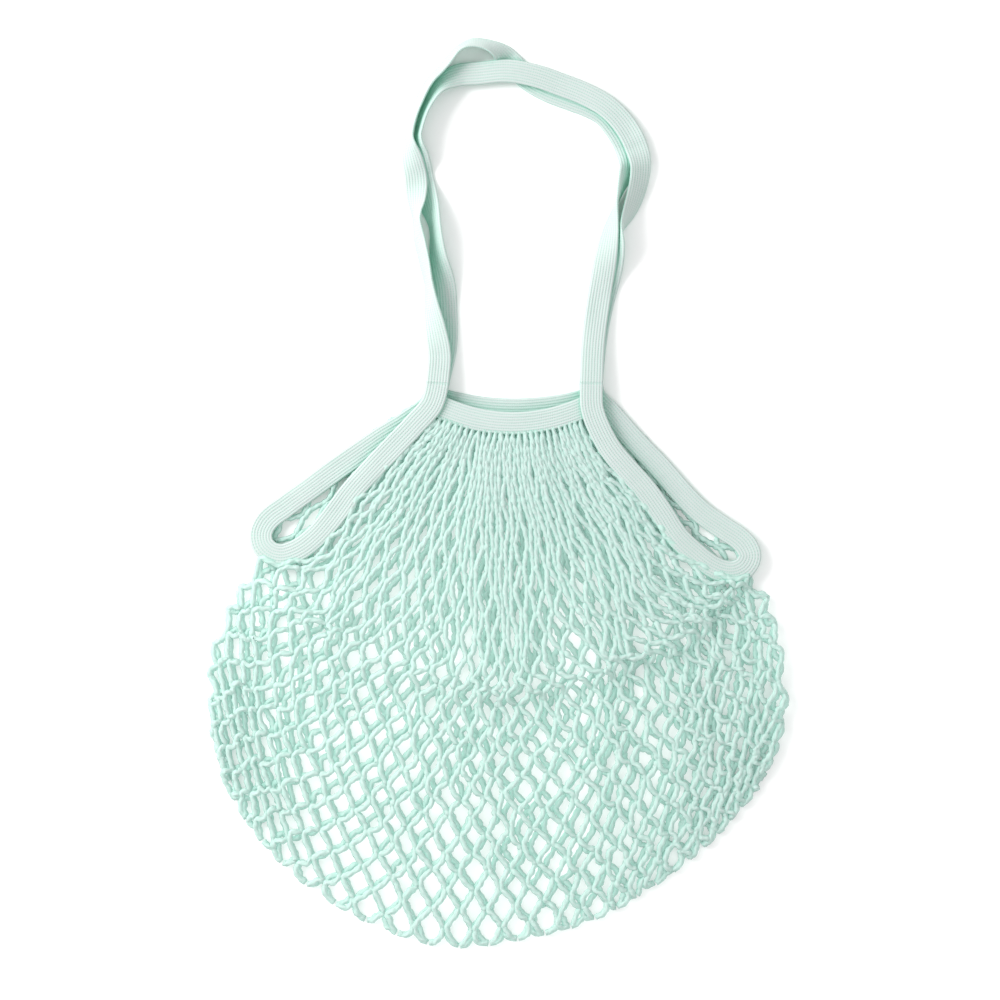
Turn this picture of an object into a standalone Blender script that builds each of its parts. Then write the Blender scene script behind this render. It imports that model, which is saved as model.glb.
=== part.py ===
# String shopping bag of mint-green cotton, laid flat with its two tape handles stretched out above the mouth.
# Metres. +X runs across the bag, +Y from its bottom towards the handles and +Z up from the surface.
# Plan places are worked out from the shoulders, where the handles leave the mouth. The finished bag is then
# carried as a whole, so that the middle of its box stands on the origin.
import bmesh
import bpy
import numpy as np
from mathutils import Vector

# Driving sizes of the bag
BODY_WIDTH = 0.402
BODY_LENGTH = 0.3927
MOUTH_WIDTH = 0.1071
HANDLE_REACH = 0.2422
LEFT_OPENING_REACH = 0.1225
LEFT_OPENING_DROP = 0.1197
RIGHT_OPENING_REACH = 0.110
RIGHT_OPENING_DROP = 0.1316

# Driving sizes of the tape and the net
TAPE_WIDTH = 0.016
TAPE_THICK = 0.0022
NET_CORD = 0.003
NET_THICK = 0.0024
NET_BULGE = 0.004
MOUTH_GAP = 0.0047
FRONT_RIM_DROP = 0.0063
FRONT_RIM_SAG = 0.0137
BACK_RIM_DROP = 0.0021
BACK_RIM_SAG = 0.0085

# Clearances: between pieces that touch on the real bag, and for a straight net edge beside a curved tape
TOUCH_GAP = 0.0003
SEAM_EASE = 0.0008
NET_UNDER_TAPE = 0.002

# Shape of the net: how far a hole's corner may reach, in cord widths, and the power that makes its holes
# longer near the rim and shorter near the bottom
CORNER_REACH = 1.6
TOP_STRETCH = 0.8

# Heights of the middle of each layer above the surface
NET_BACK_LEVEL = NET_THICK / 2
RIM_BACK_LEVEL = TAPE_THICK / 2
BINDING_BACK_LEVEL = NET_THICK + TOUCH_GAP + TAPE_THICK / 2
NET_FOLD_LEVEL = NET_THICK * 1.5 + TOUCH_GAP + SEAM_EASE / 2
RIM_FRONT_LEVEL = NET_THICK + MOUTH_GAP + TAPE_THICK / 2
BINDING_TURN_LEVEL = NET_FOLD_LEVEL + (NET_THICK + TAPE_THICK) / 2 + SEAM_EASE
BINDING_FRONT_LEVEL = RIM_FRONT_LEVEL + TAPE_THICK + TOUCH_GAP
TAPE_PITCH = TAPE_THICK + TOUCH_GAP

# Looks of the cotton, as linear colours
CORD_COLOUR = (0.48, 0.76, 0.67)
TAPE_COLOUR = (0.60, 0.80, 0.74)
COTTON_ROUGHNESS = 0.9

# How finely each piece is cut
BINDING_STEPS = 46
HANDLE_STEPS = 88
RIM_STEPS = 14
NET_COLUMNS = (2, 3, 2)
NET_ROWS = 4
EDGE_CUTS = 7
SEAM_STEPS = 240
OUTLINE_STEPS = 160

# The body's outline from the left side opening round the bottom to the right one.
# across: share of BODY_WIDTH from the middle of the mouth. down: share of BODY_LENGTH below the shoulders.
OUTLINE = (
    (-0.530, 0.501),
    (-0.526, 0.581),
    (-0.509, 0.679),
    (-0.477, 0.759),
    (-0.425, 0.831),
    (-0.321, 0.920),
    (-0.225, 0.970),
    (-0.130, 1.000),
    (0.010, 0.988),
    (0.149, 0.947),
    (0.253, 0.884),
    (0.357, 0.795),
    (0.427, 0.706),
    (0.462, 0.617),
    (0.470, 0.545),
)

# Binding tapes, from the front shoulder down, round the turn and up to the back shoulder.
# out: share of the opening's reach. down: share of its drop. level: 2 at the front shoulder, 1 at the turn
# and 0 at the back shoulder, and between these in proportion.
LEFT_BINDING = (
    (0.000, 0.000, 2.00),
    (0.024, 0.105, 2.00),
    (0.131, 0.240, 2.00),
    (0.246, 0.363, 1.86),
    (0.377, 0.503, 1.66),
    (0.491, 0.632, 1.46),
    (0.589, 0.766, 1.28),
    (0.686, 0.883, 1.13),
    (0.789, 0.965, 1.04),
    (0.891, 1.000, 1.00),
    (0.977, 0.965, 1.00),
    (1.006, 0.889, 0.85),
    (0.977, 0.807, 0.60),
    (0.880, 0.725, 0.35),
    (0.731, 0.614, 0.15),
    (0.600, 0.515, 0.05),
    (0.469, 0.421, 0.00),
    (0.320, 0.316, 0.00),
    (0.160, 0.215, 0.00),
    (0.030, 0.105, 0.00),
    (0.000, 0.000, 0.00),
)
RIGHT_BINDING = (
    (0.000, 0.000, 2.00),
    (0.003, 0.128, 2.00),
    (0.055, 0.250, 2.00),
    (0.121, 0.348, 1.95),
    (0.236, 0.463, 1.80),
    (0.338, 0.559, 1.66),
    (0.446, 0.684, 1.48),
    (0.551, 0.816, 1.30),
    (0.656, 0.899, 1.15),
    (0.777, 0.973, 1.04),
    (0.892, 1.000, 1.00),
    (0.975, 0.968, 1.00),
    (1.006, 0.904, 0.85),
    (0.962, 0.840, 0.60),
    (0.860, 0.777, 0.35),
    (0.713, 0.691, 0.15),
    (0.554, 0.559, 0.05),
    (0.439, 0.447, 0.00),
    (0.274, 0.303, 0.00),
    (0.110, 0.148, 0.00),
    (0.018, 0.062, 0.00),
    (0.000, 0.000, 0.00),
)

# Handles, from the left shoulder over the top to the right one, without the shoulders themselves.
# across: share of MOUTH_WIDTH from the middle of the mouth. up: share of HANDLE_REACH above the shoulders.
# roll: degrees that the tape is turned about its length. lift: how many tapes it lies above the surface.
FRONT_HANDLE = (
    (-0.487, 0.081, 0, 2.60),
    (-0.513, 0.156, -25, 1.20),
    (-0.539, 0.220, -50, 0.30),
    (-0.552, 0.277, -68, 0.00),
    (-0.585, 0.353, -64, 0.00),
    (-0.618, 0.416, -62, 0.00),
    (-0.637, 0.480, -70, 0.00),
    (-0.637, 0.540, -28, 0.60),
    (-0.644, 0.595, 0, 1.10),
    (-0.670, 0.653, -28, 0.60),
    (-0.686, 0.699, -66, 0.00),
    (-0.670, 0.754, -68, 0.00),
    (-0.624, 0.809, -68, 0.00),
    (-0.546, 0.873, -68, 0.00),
    (-0.467, 0.910, -68, 0.00),
    (-0.415, 0.939, -68, 0.00),
    (-0.356, 0.965, -62, 0.00),
    (-0.258, 0.980, -50, 0.00),
    (-0.173, 0.974, -33, 0.00),
    (-0.101, 0.960, -10, 0.00),
    (-0.042, 0.936, 0, 0.00),
    (0.016, 0.910, 0, 0.00),
    (0.095, 0.879, 0, 0.00),
    (0.206, 0.850, 0, 0.00),
    (0.337, 0.827, 0, 0.00),
    (0.467, 0.806, 0, 0.00),
    (0.578, 0.780, 0, 0.00),
    (0.663, 0.737, 0, 0.00),
    (0.729, 0.685, 0, 0.00),
    (0.755, 0.633, -20, 0.00),
    (0.703, 0.575, -65, 0.00),
    (0.663, 0.517, -90, 0.00),
    (0.631, 0.451, -125, 0.50),
    (0.605, 0.387, -152, 1.30),
    (0.578, 0.315, -176, 1.40),
    (0.546, 0.228, -180, 1.40),
    (0.513, 0.113, -180, 2.40),
)
BACK_HANDLE = (
    (-0.448, 0.113, 0, 0.30),
    (-0.448, 0.211, 0, 0.00),
    (-0.454, 0.272, -8, 0.00),
    (-0.500, 0.373, -43, 0.00),
    (-0.520, 0.460, -57, 0.00),
    (-0.559, 0.523, -25, 0.00),
    (-0.605, 0.604, 0, 0.00),
    (-0.621, 0.655, -30, 0.00),
    (-0.631, 0.699, -68, 0.00),
    (-0.611, 0.749, -69, 0.00),
    (-0.565, 0.806, -62, 0.10),
    (-0.487, 0.861, -38, 0.70),
    (-0.376, 0.887, -8, 1.40),
    (-0.225, 0.894, 0, 2.00),
    (-0.049, 0.900, 0, 2.20),
    (0.134, 0.887, 0, 1.80),
    (0.310, 0.861, 0, 1.20),
    (0.461, 0.835, 0, 1.10),
    (0.605, 0.798, 0, 1.20),
    (0.722, 0.743, 0, 1.20),
    (0.794, 0.682, 0, 1.30),
    (0.820, 0.630, -20, 1.30),
    (0.807, 0.575, -60, 0.60),
    (0.768, 0.517, -85, 0.00),
    (0.703, 0.451, -120, 0.00),
    (0.663, 0.387, -160, 0.00),
    (0.618, 0.306, -180, 0.00),
    (0.565, 0.214, -180, 0.00),
    (0.526, 0.113, -180, 0.30),
)


def clear_scene():
    for old in list(bpy.data.objects):
        bpy.data.objects.remove(old, do_unlink=True)


def cotton(name, colour):
    material = bpy.data.materials.new(name)
    material.use_nodes = True
    shader = material.node_tree.nodes["Principled BSDF"]
    shader.inputs["Base Color"].default_value = (*colour, 1.0)
    shader.inputs["Roughness"].default_value = COTTON_ROUGHNESS
    shader.inputs["Metallic"].default_value = 0.0
    return material


# A smooth curve through every row of a table, read at even steps of its plan length
def smooth_rows(rows, count):
    rows = np.array(rows, float)
    steps = np.linalg.norm(np.diff(rows[:, :2], axis=0), axis=1)
    at = np.concatenate(([0.0], np.cumsum(steps)))
    slope = np.gradient(rows, at, axis=0)
    place = np.linspace(0.0, at[-1], count)
    span = np.clip(np.searchsorted(at, place, side="right") - 1, 0, len(at) - 2)
    length = (at[span + 1] - at[span])[:, None]
    t = (place - at[span])[:, None] / length
    start = (2 * t**3 - 3 * t**2 + 1) * rows[span] + (t**3 - 2 * t**2 + t) * length * slope[span]
    end = (3 * t**2 - 2 * t**3) * rows[span + 1] + (t**3 - t**2) * length * slope[span + 1]
    return start + end


# The unit direction to the left of a path, seen from above
def left_of(path):
    along = np.gradient(path[:, :2], axis=0)
    along /= np.linalg.norm(along, axis=1)[:, None]
    return np.column_stack([-along[:, 1], along[:, 0]])


# A path moved sideways in plan by a distance, to its left where that is positive
def beside(path, distance):
    moved = path.copy()
    moved[:, :2] += left_of(path) * distance
    return moved


# Points of a path at shares of its length
def read_path(path, shares):
    steps = np.linalg.norm(np.diff(path, axis=0), axis=1)
    at = np.concatenate(([0.0], np.cumsum(steps)))
    return np.column_stack([np.interp(np.asarray(shares) * at[-1], at, column) for column in path.T])


def length_of(path):
    return np.linalg.norm(np.diff(path, axis=0), axis=1).sum()


# A unit grid carried to its place by a function of (u, v), then given its thickness
def laid_sheet(name, columns, rows, place, thick, material):
    mesh_maker = bmesh.new()
    bmesh.ops.create_grid(mesh_maker, x_segments=columns, y_segments=rows, size=0.5)
    bmesh.ops.translate(mesh_maker, vec=(0.5, 0.5, 0.0), verts=mesh_maker.verts)
    carry(mesh_maker, place)
    return thick_object(name, mesh_maker, thick, material)


def carry(mesh_maker, place):
    verts = list(mesh_maker.verts)
    u = np.array([vert.co.x for vert in verts])
    v = np.array([vert.co.y for vert in verts])
    for vert, spot in zip(verts, place(u, v)):
        vert.co = spot
    mesh_maker.normal_update()


def thick_object(name, mesh_maker, thick, material):
    mesh = bpy.data.meshes.new(name)
    mesh_maker.to_mesh(mesh)
    mesh_maker.free()
    mesh.materials.append(material)
    part = bpy.data.objects.new(name, mesh)
    wall = part.modifiers.new("wall", "SOLIDIFY")
    wall.thickness = thick
    wall.offset = 0.0
    return part


# A tape whose two edges lie half its width to either side of its path, turned by its roll.
# Both its ends are cut square across the bag, so that they meet the next tape face to face.
def tape(name, path, roll, material):
    side = left_of(path)
    for end in (0, -1):
        side[end] = (np.sign(side[end, 0]), 0.0)
    across = np.column_stack([side * np.cos(roll)[:, None], np.sin(roll)])

    def place(u, v):
        row = np.rint(u * (len(path) - 1)).astype(int)
        return path[row] + across[row] * ((v - 0.5) * TAPE_WIDTH)[:, None]

    return laid_sheet(name, len(path) - 1, 1, place, TAPE_THICK, material)


# The middle line of a binding tape. side is -1 on the left of the bag and 1 on its right.
def binding_path(rows, side, reach, drop):
    levels = (BINDING_BACK_LEVEL, BINDING_TURN_LEVEL, BINDING_FRONT_LEVEL)
    spots = [(side * (MOUTH_WIDTH / 2 + out * reach), -down * drop, np.interp(level, (0, 1, 2), levels))
             for out, down, level in rows]
    return smooth_rows(spots, BINDING_STEPS)


# Where the binding turns from front to back: its point furthest out and down together
def turn_of(path):
    return int(np.argmax(np.abs(path[:, 0]) - path[:, 1]))


# A handle's middle line and roll. Its ends start level with the bindings, one gap above the shoulders.
def handle_line(rows, shoulder_level):
    ends_lift = (shoulder_level - TAPE_THICK / 2 - TOUCH_GAP) / TAPE_PITCH
    spots = [(across * MOUTH_WIDTH, up * HANDLE_REACH, roll, lift) for across, up, roll, lift in rows]
    start = (-MOUTH_WIDTH / 2, TOUCH_GAP, rows[0][2], ends_lift)
    end = (MOUTH_WIDTH / 2, TOUCH_GAP, rows[-1][2], ends_lift)
    line = smooth_rows([start, *spots, end], HANDLE_STEPS)
    roll = np.radians(line[:, 2])
    resting = np.abs(np.sin(roll)) * TAPE_WIDTH / 2 + np.abs(np.cos(roll)) * TAPE_THICK / 2
    level = resting + TOUCH_GAP + np.maximum(line[:, 3], 0.0) * TAPE_PITCH
    return np.column_stack([line[:, :2], level]), roll


# A rim band: its ends are tucked under the two bindings as far as their middle lines, and it sags between
# them. u runs along it from left to right and v across it, from its upper to its lower edge.
def rim_place(left, right, drop, sag, level):
    def at_distance(path, distance):
        return read_path(path, distance / length_of(path))

    def place(u, v):
        distance = drop + v * TAPE_WIDTH
        spot = at_distance(left, distance) * (1 - u)[:, None] + at_distance(right, distance) * u[:, None]
        spot[:, 1] -= sag * 4 * np.maximum(u * (1 - u), 0.0)
        spot[:, 2] = level
        return spot

    return place


# The places in two lines where they come nearest to each other
def crossing(first, second):
    apart = np.linalg.norm(first[:, None, :2] - second[None, :, :2], axis=2)
    return np.unravel_index(np.argmin(apart), apart.shape)


# The line that a net panel hangs from: up one binding, along the rim's lower edge and down the other
# binding. Below a binding it lies under the tape, a little way in from its edge, and below the rim it meets
# the edge.
def hanging_line(left, right, offset, rim, rim_level, fold_level):
    fine = np.linspace(0.0, 1.0, SEAM_STEPS)
    left_edge = read_path(beside(left[:turn_of(left) + 1], offset), fine)
    right_edge = read_path(beside(right[:turn_of(right) + 1], -offset), fine)
    past_end = TAPE_WIDTH / MOUTH_WIDTH
    rim_edge = rim(np.linspace(-past_end, 1.0 + past_end, SEAM_STEPS), np.ones(SEAM_STEPS))
    rim_edge[:, 1] -= TOUCH_GAP + SEAM_EASE
    rim_edge[:, 2] = rim_level
    for edge in (left_edge, right_edge):
        edge[:, 2] = np.clip(edge[:, 2] - BINDING_TURN_LEVEL + NET_FOLD_LEVEL, fold_level, rim_level)
    left_at, rim_start = crossing(left_edge, rim_edge)
    right_at, rim_end = crossing(right_edge, rim_edge)
    return left_edge[left_at:][::-1], rim_edge[rim_start:rim_end + 1], right_edge[right_at:]


# A point of the hanging line or of the outline at share s of the net's columns
def read_parts(parts, s):
    starts = np.concatenate(([0], np.cumsum(NET_COLUMNS))) / sum(NET_COLUMNS)
    spots = np.zeros((len(s), 3))
    for part, low, high in zip(parts, starts[:-1], starts[1:]):
        inside = (s >= low - 1e-9) & (s <= high + 1e-9)
        spots[inside] = read_path(part, (s[inside] - low) / (high - low))
    return spots


# Keeps the corner of a narrow hole from reaching far from the crossing of the cords beside it
def blunt_corners(holes):
    rims = {vert for hole in holes for vert in hole.verts}
    for vert in rims:
        neighbours = [edge.other_vert(vert) for edge in vert.link_edges]
        joint = next(other for other in neighbours if other not in rims)
        reach = vert.co - joint.co
        if reach.length > NET_CORD * CORNER_REACH:
            vert.co = joint.co + reach.normalized() * NET_CORD * CORNER_REACH


# A net panel: a fan of diamonds between the hanging line and the outline, each cut through, so that cords
# are left between them. Its top and bottom edges alone are cut finer, to follow their curves.
def net_panel(name, hanging, fold_level, bulge, material):
    spots = [(across * BODY_WIDTH, -down * BODY_LENGTH) for across, down in OUTLINE]
    outline = smooth_rows(spots, OUTLINE_STEPS)
    outline = np.column_stack([outline, np.full(len(outline), fold_level)])

    def place(u, v):
        down = v**TOP_STRETCH
        top = read_parts(hanging, u)
        spot = top * (1 - down)[:, None] + read_path(outline, u) * down[:, None]
        spot[:, 2] = fold_level + (top[:, 2] - fold_level) * (1 - down**2)
        spot[:, 2] += bulge * np.sin(np.pi * down) * np.sin(np.pi * u) ** 2
        return spot

    mesh_maker = bmesh.new()
    bmesh.ops.create_grid(mesh_maker, x_segments=sum(NET_COLUMNS), y_segments=NET_ROWS, size=0.5)
    bmesh.ops.translate(mesh_maker, vec=(0.5, 0.5, 0.0), verts=mesh_maker.verts)
    square_edges = [edge for edge in mesh_maker.edges if len(edge.link_faces) == 2]
    bmesh.ops.poke(mesh_maker, faces=mesh_maker.faces[:])
    bmesh.ops.dissolve_edges(mesh_maker, edges=square_edges)
    curved = [edge for edge in mesh_maker.edges
              if edge.is_boundary and edge.verts[0].co.y == edge.verts[1].co.y]
    bmesh.ops.bisect_edges(mesh_maker, edges=curved, cuts=EDGE_CUTS)
    carry(mesh_maker, place)
    cords = bmesh.ops.inset_individual(mesh_maker, faces=mesh_maker.faces[:], thickness=NET_CORD / 2,
                                       use_even_offset=True)["faces"]
    holes = set(mesh_maker.faces) - set(cords)
    blunt_corners(holes)
    bmesh.ops.delete(mesh_maker, geom=list(holes), context="FACES")
    return thick_object(name, mesh_maker, NET_THICK, material)


# Moves the empty that carries every piece, so that the middle of the bag's box stands on the origin
def stand_on_origin(carrier, parts):
    bpy.context.view_layer.update()
    graph = bpy.context.evaluated_depsgraph_get()
    corners = np.array([part.evaluated_get(graph).matrix_world @ Vector(corner)
                        for part in parts for corner in part.evaluated_get(graph).bound_box])
    low, high = corners.min(axis=0), corners.max(axis=0)
    carrier.location = (-(low[0] + high[0]) / 2, -(low[1] + high[1]) / 2, -low[2])


def build_bag():
    clear_scene()
    net_cotton = cotton("mint_cotton_cord", CORD_COLOUR)
    tape_cotton = cotton("mint_cotton_tape", TAPE_COLOUR)
    left = binding_path(LEFT_BINDING, -1, LEFT_OPENING_REACH, LEFT_OPENING_DROP)
    right = binding_path(RIGHT_BINDING, 1, RIGHT_OPENING_REACH, RIGHT_OPENING_DROP)
    flat = np.zeros(BINDING_STEPS)
    front_rim = rim_place(left, right, FRONT_RIM_DROP, FRONT_RIM_SAG, RIM_FRONT_LEVEL)
    back_rim = rim_place(left[::-1], right[::-1], BACK_RIM_DROP, BACK_RIM_SAG, RIM_BACK_LEVEL)
    under_tape = TAPE_WIDTH / 2 - NET_UNDER_TAPE
    front_hanging = hanging_line(left, right, under_tape, front_rim, RIM_FRONT_LEVEL, NET_FOLD_LEVEL)
    back_hanging = hanging_line(
        left[::-1], right[::-1], -under_tape, back_rim, NET_BACK_LEVEL, NET_BACK_LEVEL)
    parts = [
        net_panel("net_front", front_hanging, NET_FOLD_LEVEL, NET_BULGE, net_cotton),
        net_panel("net_back", back_hanging, NET_BACK_LEVEL, 0.0, net_cotton),
        laid_sheet("rim_front", RIM_STEPS, 1, front_rim, TAPE_THICK, tape_cotton),
        laid_sheet("rim_back", RIM_STEPS, 1, back_rim, TAPE_THICK, tape_cotton),
        tape("binding_left", left, flat, tape_cotton),
        tape("binding_right", right, flat, tape_cotton),
        tape("handle_front", *handle_line(FRONT_HANDLE, BINDING_FRONT_LEVEL), tape_cotton),
        tape("handle_back", *handle_line(BACK_HANDLE, BINDING_BACK_LEVEL), tape_cotton),
    ]
    bag = bpy.data.collections.new("string_shopping_bag")
    bpy.context.scene.collection.children.link(bag)
    carrier = bpy.data.objects.new("bag_carrier", None)
    bag.objects.link(carrier)
    for part in parts:
        bag.objects.link(part)
        part.parent = carrier
    stand_on_origin(carrier, parts)


build_bag()
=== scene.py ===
import bpy
import numpy as np
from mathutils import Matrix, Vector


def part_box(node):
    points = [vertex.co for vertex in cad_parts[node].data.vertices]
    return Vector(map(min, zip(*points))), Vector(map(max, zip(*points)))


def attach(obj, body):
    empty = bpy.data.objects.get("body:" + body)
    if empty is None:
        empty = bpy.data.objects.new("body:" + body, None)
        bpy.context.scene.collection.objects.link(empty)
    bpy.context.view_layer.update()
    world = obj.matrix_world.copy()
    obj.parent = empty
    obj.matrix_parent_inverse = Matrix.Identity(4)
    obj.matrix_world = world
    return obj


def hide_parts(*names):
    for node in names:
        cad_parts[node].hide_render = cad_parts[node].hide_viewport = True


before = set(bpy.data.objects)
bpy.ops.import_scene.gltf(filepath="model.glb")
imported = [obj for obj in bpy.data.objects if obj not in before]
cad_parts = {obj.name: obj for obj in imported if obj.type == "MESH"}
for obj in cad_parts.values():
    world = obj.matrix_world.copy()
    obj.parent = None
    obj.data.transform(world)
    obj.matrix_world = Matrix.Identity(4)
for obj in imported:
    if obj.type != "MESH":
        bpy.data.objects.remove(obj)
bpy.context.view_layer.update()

# String shopping bag of mint-green cotton, laid flat on a white table and seen from straight above.
# Metres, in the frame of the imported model: x across the bag, y from its bottom to its handles, z up.
leftTapeBox, rightTapeBox = np.array(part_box("binding_left")), np.array(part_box("binding_right"))

# The same driving sizes as in the part's source
bag = {
    "bodyWidth": 0.402,
    "bodyLength": 0.3927,
    "mouthWidth": 0.1071,
    "handleReach": 0.2422,
    "leftOpening": (0.1225, 0.1197),     # reach and drop of the side opening
    "rightOpening": (0.110, 0.1316),
    "tapeWidth": 0.016,
    "tapeThick": 0.0022,
    "touchGap": 0.0003,
    "tableGap": 0.0001,
}

# Middle of the mouth at the shoulders, read from where the two bindings end
mouth = np.array([(leftTapeBox[1][0] + rightTapeBox[0][0]) / 2, leftTapeBox[1][1], 0.0])

# Heights of the middle of each layer above the table
level = {
    "bindingBack": 0.0038,
    "bindingTurn": 0.0074,
    "bindingFront": 0.0107,
    "rimBack": 0.0011,
    "rimFront": 0.0082,
    "netFold": 0.0024,
    "netBack": 0.0017,
}


def hexColour(text):
    # sRGB hex to linear: c / 12.92 near black and ((c + 0.055) / 1.055) to the power 2.4 above it
    c = np.array([int(text[i:i + 2], 16) for i in (1, 3, 5)]) / 255
    return (*np.where(c <= 0.04045, c / 12.92, ((c + 0.055) / 1.055) ** 2.4).tolist(), 1.0)


def addNode(tree, kind, settings=None, inputs=None):
    # one node with its settings, and its inputs by name or number: a socket is linked, a plain value is set
    node = tree.nodes.new(kind)
    for name, value in (settings or {}).items():
        setattr(node, name, value)
    for name, value in (inputs or {}).items():
        if isinstance(value, bpy.types.NodeSocket):
            tree.links.new(value, node.inputs[name])
        else:
            node.inputs[name].default_value = value
    return node


def newMaterial(name):
    material = bpy.data.materials.new(name)
    material.use_nodes = True
    material.node_tree.nodes.clear()
    return material, material.node_tree


def smoothNoise(x, y, seed, waves=9):
    # a sum of sine waves in random directions and of random phase, scaled to stay near -1 to 1
    r = np.random.default_rng(seed)
    turn, phase = r.uniform(0, 2 * np.pi, waves), r.uniform(0, 2 * np.pi, waves)
    pace = r.uniform(0.5, 1.3, waves)
    total = sum(np.sin(p * (x * np.cos(a) + y * np.sin(a)) + f) for a, f, p in zip(turn, phase, pace))
    return total / np.sqrt(waves) / 1.2


def smoothRows(rows, count):
    # a cubic Hermite curve through every row of a table, read at even steps of its plan length
    rows = np.array(rows, float)
    at = np.concatenate(([0.0], np.cumsum(np.linalg.norm(np.diff(rows[:, :2], axis=0), axis=1))))
    slope = np.gradient(rows, at, axis=0)
    place = np.linspace(0.0, at[-1], count)
    span = np.clip(np.searchsorted(at, place, side="right") - 1, 0, len(at) - 2)
    length = (at[span + 1] - at[span])[:, None]
    t = (place - at[span])[:, None] / length
    start = (2 * t**3 - 3 * t**2 + 1) * rows[span] + (t**3 - 2 * t**2 + t) * length * slope[span]
    return start + (3 * t**2 - 2 * t**3) * rows[span + 1] + (t**3 - t**2) * length * slope[span + 1]


def unit(vectors):
    # each vector divided by its length
    return vectors / np.maximum(np.linalg.norm(vectors, axis=-1, keepdims=True), 1e-12)


def leftOf(path):
    # the unit direction to the left of a path, seen from above: its heading turned a quarter
    along = unit(np.gradient(path[:, :2], axis=0))
    return np.column_stack([-along[:, 1], along[:, 0]])


def beside(path, distance):
    # a path moved sideways by a distance: to its left, or to its right where that is negative
    moved = path.copy()
    moved[:, :2] += leftOf(path) * distance
    return moved


def lengthAlong(path):
    # the running sum of the steps between a path's points, for one path or for many at once
    steps = np.linalg.norm(np.diff(path, axis=-2), axis=-1)
    return np.concatenate([np.zeros((*steps.shape[:-1], 1)), np.cumsum(steps, axis=-1)], axis=-1)


def readPath(path, shares):
    # points of a path at shares of its length
    at = lengthAlong(path)
    return np.column_stack([np.interp(np.asarray(shares) * at[-1], at, column) for column in path.T])


def tubeMesh(name, rings, around, along, tone=None):
    # rings[tube, step, side] are the points of closed tubes. Neighbouring rings are joined by quads, and each
    # end is closed by a flat strip of quads across its ring. The UV map holds (around, along) in real units.
    # What would sink into the table is flattened just above it.
    rings[..., 2] = np.maximum(rings[..., 2], bag["tableGap"])
    tubes, steps, sides = rings.shape[:3]
    index = np.arange(tubes * steps * sides).reshape(tubes, steps, sides)
    after = np.roll(index, -1, axis=2)
    walls = np.stack([index[:, :-1], after[:, :-1], after[:, 1:], index[:, 1:]], axis=-1).reshape(-1, 4)
    k = np.arange(sides // 2 - 1)
    strip = np.stack([k, k + 1, sides - 2 - k, sides - 1 - k], axis=-1)
    startCap, endCap = index[:, 0][:, strip[:, ::-1]], index[:, -1][:, strip]
    faces = np.concatenate([walls, startCap.reshape(-1, 4), endCap.reshape(-1, 4)])
    wallU = np.stack([around[:-1], around[1:], around[1:], around[:-1]], axis=-1)
    wallU = np.broadcast_to(wallU, (tubes, steps - 1, sides, 4)).reshape(-1)
    wallV = np.stack([along[:, :-1], along[:, :-1], along[:, 1:], along[:, 1:]], axis=-1)
    wallV = np.broadcast_to(wallV[:, :, None], (tubes, steps - 1, sides, 4)).reshape(-1)
    uv = np.zeros((len(faces) * 4, 2))
    uv[:len(wallU)] = np.column_stack([wallU, wallV])

    mesh = bpy.data.meshes.new(name)
    mesh.vertices.add(index.size)
    mesh.vertices.foreach_set("co", rings.reshape(-1).astype(np.float32))
    mesh.loops.add(faces.size)
    mesh.loops.foreach_set("vertex_index", faces.reshape(-1).astype(np.int32))
    mesh.polygons.add(len(faces))
    mesh.polygons.foreach_set("loop_start", np.arange(0, faces.size, 4, dtype=np.int32))
    mesh.update(calc_edges=True)
    mesh.uv_layers.new(name="clothUv").data.foreach_set("uv", uv.reshape(-1).astype(np.float32))
    if tone is not None:
        values = np.broadcast_to(tone[:, :, None], (tubes, steps, sides)).reshape(-1)
        mesh.attributes.new("tone", "FLOAT", "POINT").data.foreach_set("value", values.astype(np.float32))
    mesh.polygons.foreach_set("use_smooth", np.arange(len(faces)) < len(walls))
    piece = bpy.data.objects.new(name, mesh)
    bpy.context.scene.collection.objects.link(piece)
    return piece


# Camera: straight above the photo's middle, with a long lens, so that 0.70 m fills the frame
view = {"middle": (0.0019, -0.0061), "frameWidth": 0.70, "lens": 85.0, "sensor": 36.0}


def addCamera():
    camera = bpy.data.objects.new("camera", bpy.data.cameras.new("camera"))
    camera.data.lens, camera.data.sensor_width = view["lens"], view["sensor"]
    camera.location = (*view["middle"], view["frameWidth"] * view["lens"] / view["sensor"])
    bpy.context.scene.collection.objects.link(camera)
    bpy.context.scene.camera = camera


# Light: a big soft lamp at the upper left, low enough to throw soft shadows to the right, and a bright room
light = {
    "keyPlace": (-1.2, 0.62, 0.8),
    "keySize": 0.9,
    "keyPower": 31.0,
    "fillPlace": (0.5, -0.5, 1.5),
    "fillSize": 1.6,
    "fillPower": 6.0,
    "room": "#FFFFFF",
    "roomStrength": 0.84,
}


def addLamp(name, place, size, power):
    # a square lamp, turned from straight down so that it faces the middle of the view
    lamp = bpy.data.objects.new(name, bpy.data.lights.new(name, "AREA"))
    lamp.data.size, lamp.data.energy = size, power
    lamp.location = place
    away = np.array(place) - np.array([*view["middle"], 0.0])
    tilt, turn = np.arctan2(np.hypot(away[0], away[1]), away[2]), np.arctan2(away[0], -away[1])
    lamp.rotation_euler = (tilt, 0.0, turn)
    bpy.context.scene.collection.objects.link(lamp)


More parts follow.
